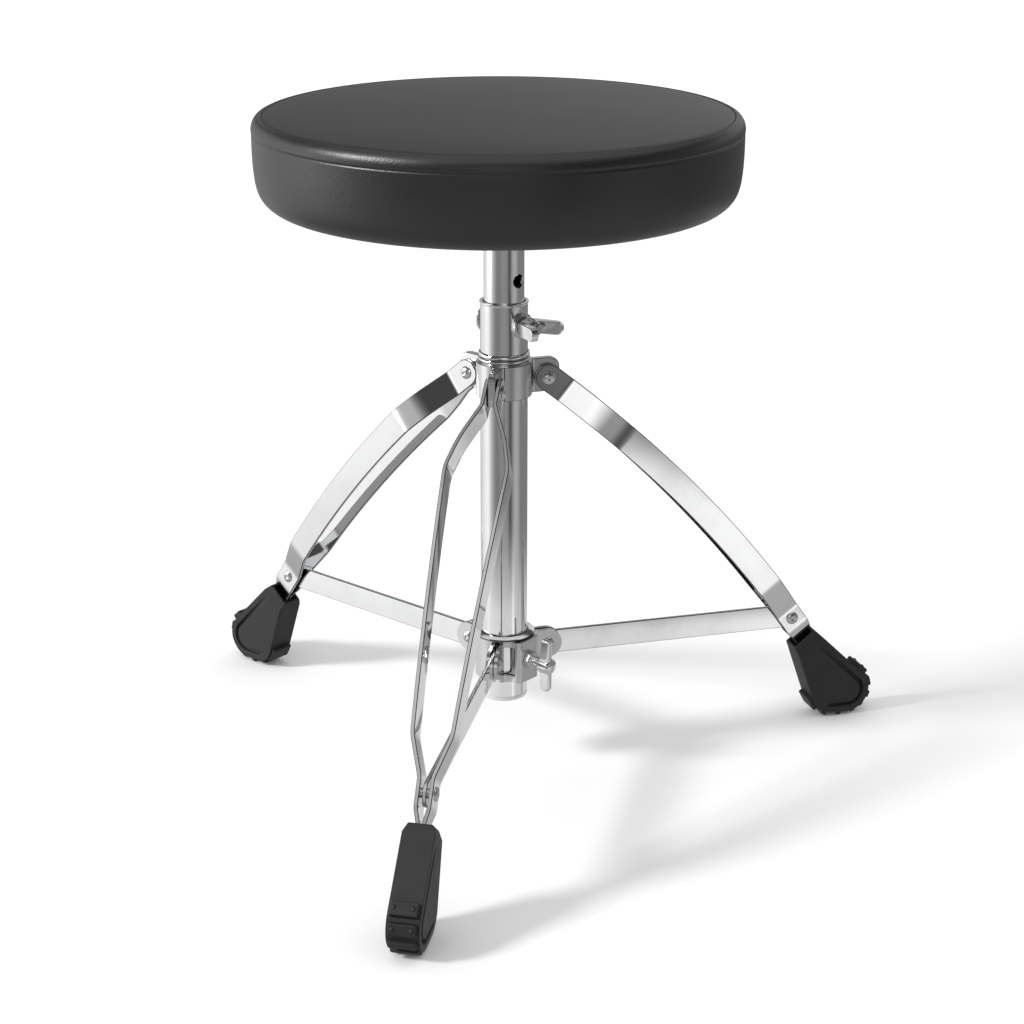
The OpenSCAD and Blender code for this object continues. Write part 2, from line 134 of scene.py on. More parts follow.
def surface(place, **inputs):
    """The shader of a finish. Underscores in the names of its inputs stand for spaces."""
    shader = place.node("ShaderNodeBsdfPrincipled", {}, {
        name.replace("_", " "): value for name, value in inputs.items()})
    end = place.tree.nodes.new("ShaderNodeOutputMaterial")
    place.tree.links.new(shader.output, end.inputs["Surface"])


def bump(place, height, depth):
    return place.node("ShaderNodeBump", {}, {"Height": height, "Distance": depth})


def chrome(name, stretch=(1, 1, 1), dullness=0.045, ripple=0.00001, pits=0.0, tone=0.9,
           metal=1.0):
    """Bright chrome plate. Handling smudges dull it in patches, and polishing leaves
    a faint ripple, which runs along the work where stretch makes it long."""
    made, place = new_finish(name)
    along = place.stretched(stretch)
    smudge = place.noise(38, 4, 0.6).between(0.42, 0.72)
    grain = along.noise(900, 2)
    dull = dullness + 0.05 * smudge + 0.02 * grain
    worn = (0.6 * smudge + 0.4 * grain).mix((tone, tone * 1.005, tone * 1.015, 1),
                                            (tone * 0.92, tone * 0.925, tone * 0.935, 1))
    height = along.noise(55, 1) + pits * grain
    surface(place, Base_Color=worn, Metallic=metal, Roughness=dull,
            Normal=bump(place, height, ripple))
    return made


def put(shape, place):
    """Moves or turns a whole shape."""
    bmesh.ops.transform(shape, matrix=place, verts=shape.verts)


def turned(outline, place=Matrix.Identity(4), steps=96):
    """A solid of revolution from a closed outline of (radius, height) points."""
    shape = bmesh.new()
    corners = [shape.verts.new((r, 0, h)) for r, h in outline]
    rim = [shape.edges.new(pair) for pair in zip(corners, corners[1:] + corners[:1])]
    bmesh.ops.spin(shape, geom=corners + rim, cent=(0, 0, 0), axis=UP, dvec=(0, 0, 0),
                   angle=2 * pi, steps=steps, use_merge=True, use_duplicate=False)
    bmesh.ops.remove_doubles(shape, verts=shape.verts, dist=1e-5)
    bmesh.ops.dissolve_degenerate(shape, edges=shape.edges, dist=1e-5)
    bmesh.ops.recalc_face_normals(shape, faces=shape.faces)
    put(shape, place)
    return shape


def rounded(shape, edges, radius, steps):
    """Rounds some edges of a shape."""
    bmesh.ops.bevel(shape, geom=list(edges), offset=radius, segments=steps, profile=0.5,
                    affect="EDGES", material=-1)


def joined(*shapes):
    """Several shapes as one."""
    whole = bmesh.new()
    for shape in shapes:
        part = bpy.data.meshes.new("part")
        shape.to_mesh(part)
        whole.from_mesh(part)
        bpy.data.meshes.remove(part)
        shape.free()
    return whole


def mesh_of(name, shape):
    """A finished shape as a mesh."""
    mesh = bpy.data.meshes.new(name)
    shape.to_mesh(mesh)
    shape.free()
    return mesh


def in_scene(name, data):
    """A new object at the origin."""
    made = bpy.data.objects.new(name, data)
    bpy.context.scene.collection.objects.link(made)
    return made


def piece(name, shape, body, material, edge=0.4, thickness=0.0, side=0.0,
          round_steps=3, corner=None, cut=None, nodes=None):
    """Makes the finished object: a sheet gets its thickness, edges are rounded, and
    flat faces keep flat reflections. It rides on body and stands for nodes, or for the
    node of its own name. Rounded corners and the cut edges of a sheet can have finishes
    of their own."""
    nodes = [name] if nodes is None else nodes
    bmesh.ops.scale(shape, vec=(mm, mm, mm), verts=shape.verts)
    mesh = mesh_of(name, shape)
    mesh.shade_smooth()
    # When given, the corner and cut finishes carry painted shade: dark lines on rounded corners
    # and greyer cut edges
    for finish in (material, corner or material, cut or material):
        mesh.materials.append(finish)
    made = in_scene(name, mesh)
    if thickness:
        sheet = made.modifiers.new("thickness", "SOLIDIFY")
        sheet.thickness, sheet.offset = thickness * mm, side
        sheet.use_even_offset, sheet.material_offset_rim = True, 2
    if edge:
        rounding = made.modifiers.new("edges", "BEVEL")
        rounding.width, rounding.segments = edge * mm, round_steps
        rounding.limit_method, rounding.angle_limit = "ANGLE", radians(35)
        rounding.material = 1
    flat = made.modifiers.new("normals", "WEIGHTED_NORMAL")
    flat.keep_sharp = False
    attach(made, body)
    if nodes:
        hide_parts(*nodes)
    return made


polished = chrome("polished_chrome", stretch=(1, 1, 0.06), dullness=0.035)
tube_low, tube_high = node_box("main_tube")
rim_out, wall = 0.5, 1.5
tube_r, tube_foot, tube_top = tube_high.x - rim_out, tube_low.z, tube_high.z
rim_h = 1.2
piece("main_tube", turned([
    (tube_r - wall, tube_foot), (tube_r, tube_foot), (tube_r, tube_top - rim_h),
    (tube_r + rim_out, tube_top - rim_h + 0.3), (tube_r + rim_out, tube_top),
    (tube_r - wall, tube_top)], steps=128), "base", polished, 0.25)

cap_low = node_box("tube_end_cap")[0].z
cap_finish, place = new_finish("grey_cap")
mottle = place.noise(260, 3)
surface(place, Base_Color=mottle.mix((0.50, 0.50, 0.51, 1), (0.60, 0.60, 0.61, 1)),
        Roughness=0.28 + 0.15 * mottle, Normal=bump(place, mottle, 0.00002))
piece("tube_end_cap", turned([
    (0, cap_low + 0.7), (tube_r - 6, cap_low + 0.5), (tube_r - 2, cap_low),
    (tube_r, cap_low + 0.4), (tube_r, tube_foot), (tube_r - wall, tube_foot),
    (tube_r - wall, tube_foot + 10), (0, tube_foot + 10)]),
    "base", cap_finish, 0.6)

sleeve_finish, place = new_finish("sleeve_nylon")
mottle = place.noise(500, 2)
surface(place, Base_Color=mottle.mix(grey(0.10), grey(0.15)),
        Roughness=0.4 + 0.1 * mottle)


def wear(name, finish):
    """Gives its finish to a CAD node that is shown as it is."""
    materials = frame["nodes"][name].data.materials
    materials.clear()
    materials.append(finish)


wear("tube_bushing", sleeve_finish)

# ---- Support ring ----
# A collar with two rolled beads is pressed on the tube, and the leg bracket hangs
# under it. Its rounded corners carry painted shade, a near-black line, as on all the sheet
# parts.

# Near-black, half-metal finish: painted shade, used as dark lines on rounded corners and on the
# ledge under the bracket's lip
painted_shade_chrome = chrome("painted_shade_chrome", dullness=0.3, tone=0.035, metal=0.4)
ring_z = node_box("support_ring")[0].z
piece("support_ring", turned([
    (tube_r - 0.1, ring_z + 1.0), (tube_r + 1.0, ring_z + 1.0), (tube_r + 1.5, ring_z + 1.6),
    (tube_r + 1.55, ring_z + 2.7), (tube_r + 1.2, ring_z + 3.3), (tube_r + 0.2, ring_z + 3.5),
    (tube_r + 0.2, ring_z + 4.1), (tube_r + 1.15, ring_z + 4.4),
    (tube_r + 1.3, ring_z + 5.3), (tube_r + 0.95, ring_z + 6.2),
    (tube_r + 0.35, ring_z + 6.7), (tube_r - 0.1, ring_z + 6.7)], steps=128),
    "base", polished, 0.3, corner=painted_shade_chrome)

# ---- Leg bracket ----
# A band of thick sheet is wrapped round the tube under the ring. Its folds stand out
# as three ears with rounded corners, and each ear carries one leg.

pressed = chrome("pressed_chrome", dullness=0.22, ripple=0.00003, pits=0.1, tone=0.74)
# Greyer, half-metal finish for the cut edges of sheets: painted shade on those edges
cut_edge_painted_shade = chrome("cut_edge_painted_shade", dullness=0.26, tone=0.5, metal=0.6)
bracket_low, bracket_high = node_box("leg_bracket")
joint = {j["name"]: j for j in frame["joints"]}
legs = (1, 2, 3)
hinge = {n: Vector(joint[f"leg_{n}_fold"]["pos_m"]) / mm for n in legs}
turn = {n: atan2(hinge[n].y, hinge[n].x) for n in legs}
band_r, ear_half, ear_end = tube_r + 2.5, 2.4, 8.0
hinge_r = hypot(hinge[1].x, hinge[1].y)
ear_r = hinge_r + ear_end
band_steps = 20

shape = bmesh.new()
outline = []
for n in sorted(legs, key=lambda n: turn[n]):
    across = asin(ear_half / band_r)
    for r, side in ((band_r, -1), (ear_r, -1), (ear_r, 1), (band_r, 1)):
        reach = sqrt(r * r - ear_half ** 2) if r == band_r else r
        outline.append(Matrix.Rotation(turn[n], 3, "Z") @ Vector((reach, side * ear_half, 0)))
    for k in range(1, band_steps):
        angle = turn[n] + across + (2 * pi / 3 - 2 * across) * k / band_steps
        outline.append(Vector((band_r * cos(angle), band_r * sin(angle), 0)))
corners = [shape.verts.new(point) for point in outline]
rim = [shape.edges.new(pair) for pair in zip(corners, corners[1:] + corners[:1])]
bore = bmesh.ops.create_circle(shape, segments=72, radius=tube_r + 0.05)["verts"]
rim += list({e for v in bore for e in v.link_edges})
bmesh.ops.triangle_fill(shape, use_beauty=True, edges=rim)
for v in shape.verts:
    v.co.z = bracket_low.z
up = bmesh.ops.extrude_face_region(shape, geom=shape.faces[:])["geom"]
bmesh.ops.translate(shape, vec=(0, 0, bracket_high.z - bracket_low.z),
                    verts=[v for v in up if isinstance(v, bmesh.types.BMVert)])
bmesh.ops.recalc_face_normals(shape, faces=shape.faces)


def level_ends(edge):
    """The top and bottom edges of an ear's outer end."""
    return all(hypot(v.co.x, v.co.y) > ear_r - 1 for v in edge.verts) and \
        abs(edge.verts[0].co.z - edge.verts[1].co.z) < 1e-4


def roots(edge):
    """The upright edges where an ear leaves the band."""
    ends = [hypot(v.co.x, v.co.y) for v in edge.verts]
    return abs(edge.verts[0].co.z - edge.verts[1].co.z) > 1 and \
        min(ends) > tube_r + 1 and max(ends) < ear_r - 5 and \
        edge.calc_face_angle(0) > radians(40)


rounded(shape, [e for e in shape.edges if level_ends(e)], 6, 8)
rounded(shape, [e for e in shape.edges if roots(e)], 2.2, 6)
# Its rounded corners get painted shade from the near-black finish
piece("leg_bracket", shape, "base", pressed, 0.5, corner=painted_shade_chrome)

# ---- Rivets ----
# Steel rivets with low domed heads hold the bars to the ears. The closing punch
# leaves a small dimple in the middle of each head.


def across_leg(n, point):
    """Places a shape that stands on Z so that it lies across leg n at point."""
    return Matrix.Translation(point) @ Matrix.Rotation(turn[n], 4, "Z") @ \
        Matrix.Rotation(-pi / 2, 4, "X")


def rivet(name, body, n, point, half, head_r, head_h, dimple=0.9):
    """A rivet across leg n at point, with a domed head beyond half on each side."""
    head = [(dimple, half + head_h - 0.35), (dimple + 0.5, half + head_h),
            (head_r * 0.62, half + head_h * 0.86), (head_r * 0.86, half + head_h * 0.55),
            (head_r * 0.97, half + head_h * 0.25), (head_r, half)]
    other = [(r, -h) for r, h in reversed(head)]
    outline = [(0, half + head_h - 0.45)] + head + [(shank_r, half), (shank_r, -half)] + \
        other + [(0, -half - head_h + 0.45)]
    piece(name, turned(outline, across_leg(n, point), 48), body, pressed, 0.15)


strip_half, strip_t, shank_r = 2.7, 2.5, 3.0
for n in legs:
    rivet(f"leg_{n}_hinge_rivet", "base", n, hinge[n], strip_half + strip_t + 0.2, 4.2, 2.0)

# ---- Leg bars ----
# Each leg is two flat bars, bowed along their length, creased outwards under the
# hinge and drawn in again above the brace joint. They are bent first, then chromed.

flat_chrome = chrome("flat_bar_chrome", stretch=(0.5, 0.5, 0.5), dullness=0.03, ripple=0.000012)
bow_r, bar_w = 900.0, 17.0
brace_joint = {}
for n in legs:
    low, high = node_box(f"leg_{n}_brace_rivet")
    brace_joint[n] = (low + high) / 2
joint_r, joint_z = hypot(brace_joint[1].x, brace_joint[1].y), brace_joint[1].z
chord = hypot(joint_r - hinge_r, hinge[1].z - joint_z)
tilt = atan2(hinge[1].z - joint_z, joint_r - hinge_r)
bow_drop = sqrt(bow_r ** 2 - chord ** 2 / 4)
# Where a bar bends: distance along the leg, half gap to its fellow, and how gradual
bends = [(-30, strip_half, 1), (15, strip_half, 1.6), (39, 12.9, 7), (59, 18, 4),
         (chord - 32, 10.5, 3),
         (chord - 8, strip_half, 2.5), (chord + 9, strip_half, 2), (chord + 17, 0.6, 2),
         (chord + 80, 0.6, 1)]


def straight_gap(x):
    for (x0, gap0, _), (x1, gap1, _) in zip(bends, bends[1:]):
        if x <= x1:
            return gap0 + (gap1 - gap0) * max(0.0, x - x0) / (x1 - x0)
    return gap1


def half_gap(x):
    """Half the gap between the two bars at x, with each bend rounded."""
    spread = next((soft for at, _, soft in bends if abs(x - at) < 1.5 * soft), 1)
    near = min(bends, key=lambda bend: abs(x - bend[0]))
    soft = max(spread, near[2] * max(0.0, 1 - abs(x - near[0]) / (3 * near[2])))
    samples = [straight_gap(x + soft * k / 6) for k in range(-6, 7)]
    return sum(samples) / len(samples)


def strip(stations, place, point):
    """A flat strip as a grid: stations are (distance, half width) pairs, and point
    gives where a spot at a distance and offset lies."""
    shape = bmesh.new()
    count = len(stations) - 1
    bmesh.ops.create_grid(shape, x_segments=count, y_segments=2, size=0.5)
    for v in shape.verts:
        s, half = stations[round((v.co.x + 0.5) * count)]
        v.co = point(s, 2 * v.co.y * half)
    bmesh.ops.remove_doubles(shape, verts=shape.verts, dist=1e-4)
    put(shape, place)
    return shape


def round_end(at, half, direction):
    """Stations that close a strip in a half circle, from its full width outwards."""
    return [(at + direction * half * sin(radians(a)), half * cos(radians(a)))
            for a in (0, 14, 28, 42, 55, 67, 77)]


def leg_frame(n):
    """X runs from the hinge to the brace joint, Y across the leg, Z outwards."""
    return Matrix.Translation(hinge[n]) @ Matrix.Rotation(turn[n], 4, "Z") @ \
        Matrix.Rotation(tilt, 4, "Y")


def faded(distance, start, run):
    """0 up to start, 1 from start + run on, and straight between."""
    return min(1.0, max(0.0, (distance - start) / run))


start_angle = asin(-chord / 2 / bow_r)
beyond_joint, station = 34, 1.25
bar_length = bow_r * (asin((chord / 2 + beyond_joint) / bow_r) - start_angle)
# The last stretch is narrowed a little to go into the foot
narrowing, narrow_fade = 1.6, (chord + 10, 8)
stations = round_end(0, bar_w / 2, -1)[::-1] + [
    (s, bar_w / 2 - narrowing * faded(s, *narrow_fade))
    for s in (k * station for k in range(1, int(bar_length / station)))]
for n in legs:
    place = leg_frame(n)
    for side, hand in ((1, "left"), (-1, "right")):
        def on_bar(s, offset):
            angle = start_angle + s / bow_r
            x = chord / 2 + bow_r * sin(angle)
            return (chord / 2 + (bow_r + offset) * sin(angle), side * half_gap(x),
                    (bow_r + offset) * cos(angle) - bow_drop)
        bar = strip(stations, place, on_bar)
        outward = place.to_3x3() @ Vector((0, side, 0))
        bar.faces.ensure_lookup_table()
        bar.normal_update()
        if bar.faces[len(bar.faces) // 2].normal.dot(outward) < 0:
            bmesh.ops.reverse_faces(bar, faces=bar.faces)
        # Rounded corners get painted dark lines and cut edges get painted shade from their own
        # finishes
        piece(f"leg_{n}_{hand}_bar", bar, f"leg_{n}", flat_chrome, 0.7,
              thickness=strip_t, side=1, corner=painted_shade_chrome, cut=cut_edge_painted_shade)
    rivet(f"leg_{n}_brace_rivet", f"leg_{n}", n, brace_joint[n], strip_half + strip_t, 4.4,
          1.5, 1.3)

# ---- Rubber feet ----
# The feet are moulded in black rubber round the ends of the bars. Each has a narrow
# mouth, a round end with tread lugs and an arched groove in both side faces.

rubber, place = new_finish("black_rubber")
cloud = place.noise(120, 3)
fine = place.noise(2600, 2)
surface(place, Base_Color=(0.7 * cloud + 0.3 * fine).mix((0.010, 0.010, 0.0105, 1),
                                                         (0.020, 0.020, 0.021, 1)),
        Roughness=0.42 + 0.16 * cloud, Specular_IOR_Level=0.4,
        Normal=bump(place, fine + 0.5 * cloud, 0.00006))
foot_half, tread_h = 9.8, 2.5
# Distance from the axis and height of the mouth's inner and outer corner, and of the
# middles of the two curves at the round end with their radii
mouth = ((205.6, 54.0), (219.6, 65.2))
curves = ((246.4, 18.2, 15.5), (234.5, 18.0, 14.8))
mouth_half, shoulder = 7.2, 5.5
mouth_wall, mouth_deep = 1.5, 11
# Depth of the groove, and how it fades in: from where and over what run, from the mouth
# and from the inner edge
groove_deep, mouth_fade, edge_fade = 2.7, (12, 8), (6, 6)


def on_curve(which, degrees):
    """A point of the round end and the angle it faces."""
    r, z, radius = curves[which]
    angle = radians(degrees)
    return r + radius * cos(angle), z + radius * sin(angle), angle


def lug(r, z, angle, length, height=tread_h):
    """A tread lug standing on the foot's edge at (r, z), facing angle."""
    shape = bmesh.new()
    bmesh.ops.create_cube(shape, size=1)
    bmesh.ops.scale(shape, vec=(length, 2 * foot_half - 3, height + 2), verts=shape.verts)
    rounded(shape, shape.edges, 0.9, 3)
    out = (height - 2) / 2
    put(shape, Matrix.Translation((r + out * cos(angle), 0, z + out * sin(angle))) @
        Matrix.Rotation(pi / 2 - angle, 4, "Y"))
    return shape


def pip(r, z, angle, across):
    """A small round bump on a lug."""
    shape = bmesh.new()
    bmesh.ops.create_uvsphere(shape, u_segments=20, v_segments=10, radius=1.7)
    out = tread_h - 0.9
    bmesh.ops.translate(shape, verts=shape.verts, vec=(
        r + out * cos(angle), across, z + out * sin(angle)))
    return shape


def foot_shape():
    """The foot in its leg's upright plane: X outwards, Y across, Z up."""
    shape = bmesh.new()
    (inner_r, inner_z), (outer_r, outer_z) = mouth
    middle = Vector(((inner_r + outer_r) / 2, 0, (inner_z + outer_z) / 2))
    tip = Vector((curves[0][0], 0, curves[0][1]))
    down = (tip - middle).normalized()
    for side in (-1, 1):
        for r, z, radius in curves:
            rounds = bmesh.ops.create_circle(shape, segments=72, radius=radius)["verts"]
            bmesh.ops.transform(shape, verts=rounds, matrix=Matrix.Translation(
                (r, side * foot_half, z)) @ Matrix.Rotation(pi / 2, 4, "X"))
        for r, z in mouth:
            corner = Vector((r, 0, z))
            away = (corner - middle).normalized()
            shape.verts.new(corner + Vector((0, side * mouth_half, 0)))
            shape.verts.new(corner + down * shoulder + away * 1.2
                            + Vector((0, side * foot_half, 0)))
    for edge in shape.edges[:]:
        shape.edges.remove(edge)
    hull = bmesh.ops.convex_hull(shape, input=shape.verts[:])
    spare = {v for v in hull["geom_interior"] + hull["geom_unused"]
             if isinstance(v, bmesh.types.BMVert)}
    bmesh.ops.delete(shape, geom=list(spare), context="VERTS")
    bmesh.ops.dissolve_limit(shape, angle_limit=radians(2), verts=shape.verts,
                             edges=shape.edges)
    bmesh.ops.recalc_face_normals(shape, faces=shape.faces)
    # A groove follows the outer edge and the round end, and fades towards the mouth
    inner_edge = Vector((curves[1][0] - curves[1][2] - inner_r, 0, curves[1][1] - inner_z))
    square = Vector((-inner_edge.z, 0, inner_edge.x)).normalized()
    for side in (-1, 1):
        face = max((f for f in shape.faces if f.normal.y * side > 0.99),
                   key=lambda f: f.calc_area())
        sunk = set()
        for width, deep in ((4.0, False), (0.8, False), (0.9, True), (1.3, True), (0.9, False)):
            ring = bmesh.ops.inset_region(shape, faces=[face], thickness=width,
                                          use_even_offset=True)["faces"]
            if deep:
                sunk |= {v for f in ring for v in f.verts} - set(face.verts)
        for v in sunk:
            from_mouth = (v.co - middle).dot(down)
            from_edge = abs((v.co - Vector((inner_r, 0, inner_z))).dot(square))
            v.co.y -= side * groove_deep * faded(from_mouth, *mouth_fade) * \
                faded(from_edge, *edge_fade)
    # The mouth is moulded hollow round the bars
    opening = max((f for f in shape.faces if f.normal.dot(down) < -0.8),
                  key=lambda f: f.calc_area())
    bmesh.ops.inset_region(shape, faces=[opening], thickness=mouth_wall,
                           use_even_offset=True)
    bmesh.ops.inset_region(shape, faces=[opening], thickness=0.3, depth=-mouth_deep,
                           use_even_offset=True)
    return shape


upper_lug = (256.6, 31.4, atan2(0.775, 0.632))
for n in legs:
    lugs = [lug(*upper_lug, 8.5), lug(*on_curve(0, 14), 7), lug(*on_curve(0, -20), 5),
            lug(*on_curve(0, -48), 4, 2.2), lug(*on_curve(0, -74), 4, 2.4),
            lug(240.5, 3.0, -pi / 2, 4, 3.0), lug(*on_curve(1, -108), 4),
            lug(*on_curve(1, -152), 10)]
    pips = [pip(*at, side * 5.6) for at in (upper_lug, on_curve(0, 14)) for side in (-1, 1)]
    foot = joined(foot_shape(), *lugs, *pips)
    put(foot, Matrix.Rotation(turn[n], 4, "Z"))
    piece(f"leg_{n}_foot", foot, f"leg_{n}", rubber, 0.7)

# ---- Sliding bracket ----
# The braces meet on a bracket pressed from sheet, which slides on the tube. Its ears
# are bent out of the windows beside them, and a flat pad takes the wing bolt.

slider_low, slider_high = node_box("lower_bracket")
slider_z, lip_z = slider_low.z, slider_high.z
pivot = {n: Vector(joint[f"brace_{n}_swing"]["pos_m"]) / mm for n in legs}
pivot_r, pivot_z = hypot(pivot[1].x, pivot[1].y), pivot[1].z
sheet_t, ear_offset, lug_r = 2.2, 2.65, 9.8
shell_mid, pad_out, pad_half = 17.4, 20.9, 8.9
bolt_turn = atan2(joint["wing_bolt_spin"]["axis"][1], joint["wing_bolt_spin"]["axis"][0])


def eased(line, reach):
    """A line of plan points whose corners are rounded within reach."""
    out = [line[0]]
    for before, corner, after in zip(line, line[1:], line[2:]):
        a, b = before - corner, after - corner
        if a.angle(b) > radians(150):
            out.append(corner)
            continue
        start = corner + a.normalized() * min(reach, a.length * 0.5)
        end = corner + b.normalized() * min(reach, b.length * 0.5)
        for k in range(7):
            t = k / 6
            out.append(start * (1 - t) ** 2 + corner * 2 * t * (1 - t) + end * t * t)
    return out + [line[-1]]


def arc(radius, start, end, steps):
    return [Vector((radius * cos(start + (end - start) * k / steps),
                    radius * sin(start + (end - start) * k / steps), 0))
            for k in range(steps + 1)]


def at_turn(angle, x, y):
    return Matrix.Rotation(angle, 3, "Z") @ Vector((x, y, 0))


window_low, window_high = slider_z + 5, lip_z - 6.5
shell_low, shell_high = slider_z + 0.5, lip_z - 2.5
# The windows are cut beside the ears, between these angles from each
open_from, open_to, open_r = radians(10), radians(33), 20
sheets = []
order = sorted(legs, key=lambda n: turn[n])
for n, following in zip(order, order[1:] + order[:1]):
    first = turn[n]
    last = turn[following] if turn[following] > first else turn[following] + 2 * pi
    root = asin(ear_offset / shell_mid)
    reach = [pivot_r + lug_r * cos(radians(a)) for a in (14, 28, 41, 54, 66, 78, 90)] + [
        27, 24, 21]
    ear = [at_turn(first, r, ear_offset) for r in reach]
    tail = [at_turn(last, r, -ear_offset) for r in reach[::-1]]
    if first < bolt_turn < last:
        step_in = asin(pad_half / shell_mid)
        round_it = arc(shell_mid, first + root, bolt_turn - step_in, 14) + [
            at_turn(bolt_turn, pad_out, -pad_half), at_turn(bolt_turn, pad_out, -3),
            at_turn(bolt_turn, pad_out, 3), at_turn(bolt_turn, pad_out, pad_half)] + \
            arc(shell_mid, bolt_turn + step_in, last - root, 14)
    else:
        round_it = arc(shell_mid, first + root, last - root, 36)
    line = eased(ear + round_it + tail, 2.2)
    shape = bmesh.new()
    count = len(line) - 1
    bmesh.ops.create_grid(shape, x_segments=count, y_segments=3, size=0.5)
    cut = []
    for face in shape.faces:
        middle = face.calc_center_median()
        at = line[int((middle.x + 0.5) * count)]
        angle = atan2(at.y, at.x) - first
        angle += 2 * pi if angle < -pi else (-2 * pi if angle > pi else 0)
        if abs(middle.y) < 0.1 and open_from < angle < open_to and \
                hypot(at.x, at.y) < open_r:
            cut.append(face)
    for v in shape.verts:
        at = line[round((v.co.x + 0.5) * count)]
        r = hypot(at.x, at.y)
        low, high = shell_low, shell_high
        if r > 20.5 and min(abs(at_turn(-a, at.x, at.y).y) for a in (first, last)) < 3.5:
            out = r - pivot_r
            drop = sqrt(max(0.0, lug_r ** 2 - out * out)) if out > -2 else 0
            low = pivot_z - drop if out > -2 else shell_low + (r - 18) * (
                pivot_z - 8.8 - shell_low) / (pivot_r - 2 - 18)
            high = pivot_z + (drop if out > 0 else lug_r)
        row = round((v.co.y + 0.5) * 3)
        share = (0, (window_low - shell_low) / (shell_high - shell_low),
                 (window_high - shell_low) / (shell_high - shell_low), 1)[row]
        v.co = Vector((at.x, at.y, low + (high - low) * share))
    bmesh.ops.delete(shape, geom=cut, context="FACES")
    bmesh.ops.remove_doubles(shape, verts=shape.verts, dist=1e-4)
    sheets.append(shape)
# Its rounded corners get painted shade from the near-black finish, as on the lip below
piece("lower_bracket", joined(*sheets), "slider", pressed, 0.5,
      thickness=sheet_t, corner=painted_shade_chrome)
bore_r = tube_r + 0.2
piece("lower_bracket_lip", turned([
    (bore_r, lip_z - 3.2), (shell_mid + 0.9, lip_z - 3.2), (shell_mid + 1.2, lip_z - 2.4),
    (tube_r + 4.9, lip_z - 2.2), (tube_r + 5.0, lip_z - 1.4), (tube_r + 4.2, lip_z - 0.9),
    (tube_r + 1.6, lip_z - 0.1), (bore_r, lip_z)], steps=128),
    "slider", polished, 0.35, corner=painted_shade_chrome, nodes=["lower_bracket"])
# A thin ledge under the lip, wholly in the near-black finish: painted shade under the lip
ledge = bmesh.new()
bmesh.ops.create_cube(ledge, size=1)
bmesh.ops.scale(ledge, vec=(pad_out - tube_r - 0.6, 2 * pad_half, 1.6), verts=ledge.verts)
put(ledge, Matrix.Rotation(bolt_turn, 4, "Z") @
    Matrix.Translation(((pad_out + tube_r + 0.6) / 2, 0, shell_high - 1.0)))
piece("lower_bracket_ledge", ledge, "slider", painted_shade_chrome, 0.4,
      nodes=["lower_bracket"])

for n in legs:
    rivet(f"brace_{n}_pivot_rivet", "slider", n, pivot[n], ear_offset + sheet_t / 2, 4.2, 1.6)

# ---- Braces ----
# Three straight flat bars with round ends tie the sliding bracket to the legs. They
# turn between the ears at one end and between the two bars of a leg at the other.

brace_w, brace_t = 16.0, 2.5
rise, reach = joint_z - pivot_z, joint_r - pivot_r
length = hypot(rise, reach)
stations = round_end(0, brace_w / 2, -1)[::-1] + [
    (length * k / 40, brace_w / 2) for k in range(1, 40)] + round_end(length, brace_w / 2, 1)
for n in legs:
    place = Matrix.Translation(pivot[n]) @ Matrix.Rotation(turn[n], 4, "Z") @ \
        Matrix.Rotation(atan2(-rise, reach), 4, "Y")
    # Rounded corners get painted dark lines and cut edges get painted shade from their own
    # finishes
    piece(f"brace_{n}", strip(stations, place, lambda s, offset: (s, 0, offset)),
          f"brace_{n}", flat_chrome, 0.7, thickness=brace_t, corner=painted_shade_chrome,
          cut=cut_edge_painted_shade)

# ---- Wing bolt of the sliding bracket ----
# A cast wing bolt runs in a nut welded on the pad and clamps the bracket to the tube.
# Its wings stand up and down, and its casting is a little softer than the sheet.

cast = chrome("cast_chrome", dullness=0.1, ripple=0.00004, pits=0.3)
bolt_z = joint["wing_bolt_spin"]["pos_m"][2] / mm


def along_bolt(angle, z):
    """Places a shape that stands on Z so that it points out from the axis at angle."""
    return Matrix.Translation((0, 0, z)) @ Matrix.Rotation(angle, 4, "Z") @ \
        Matrix.Rotation(pi / 2, 4, "Y")


def hexagon(radius, depth, place):
    shape = bmesh.new()
    bmesh.ops.create_cone(shape, cap_ends=True, segments=6, radius1=radius, radius2=radius,
                          depth=depth)
    put(shape, place @ Matrix.Translation((0, 0, depth / 2)))
    return shape


def wing(bolt, start, tip, width, thick, upright, rounding):
    """A wing of a bolt or nut, given as its angle and height. Start and tip are in its
    own directions: X out, Y across, Z up."""
    start, tip = Vector(start), Vector(tip)
    shape = bmesh.new()
    bmesh.ops.create_cube(shape, size=1)
    bmesh.ops.subdivide_edges(shape, edges=shape.edges[:], cuts=1, use_grid_fill=True)
    bmesh.ops.scale(shape, vec=((tip - start).length, thick, width), verts=shape.verts)
    across = [e for e in shape.edges if all(v.co.x > (tip - start).length * 0.49
              and abs(v.co.z) > width * 0.49 for v in e.verts)]
    rounded(shape, across, rounding, 6)
    for v in shape.verts:
        v.co.y *= 0.86 + 0.28 * (0.5 - v.co.x / (tip - start).length)
    direction = (tip - start).normalized()
    side = Vector((0, 1, 0))
    axes = Matrix((direction, side, direction.cross(side))) if upright else \
        Matrix((direction, UP.cross(direction), UP))
    angle, z = bolt
    put(shape, Matrix.Translation((0, 0, z)) @ Matrix.Rotation(angle, 4, "Z") @
        Matrix.Translation((start + tip) / 2) @ axes.transposed().to_4x4())
    return shape


bolt = (bolt_turn, bolt_z)
nut_low, nut_h = 22.0, 3.5
piece("lower_weld_nut", hexagon(6.0, nut_h, along_bolt(*bolt) @
      Matrix.Translation((0, 0, nut_low))), "slider", pressed, 0.5)

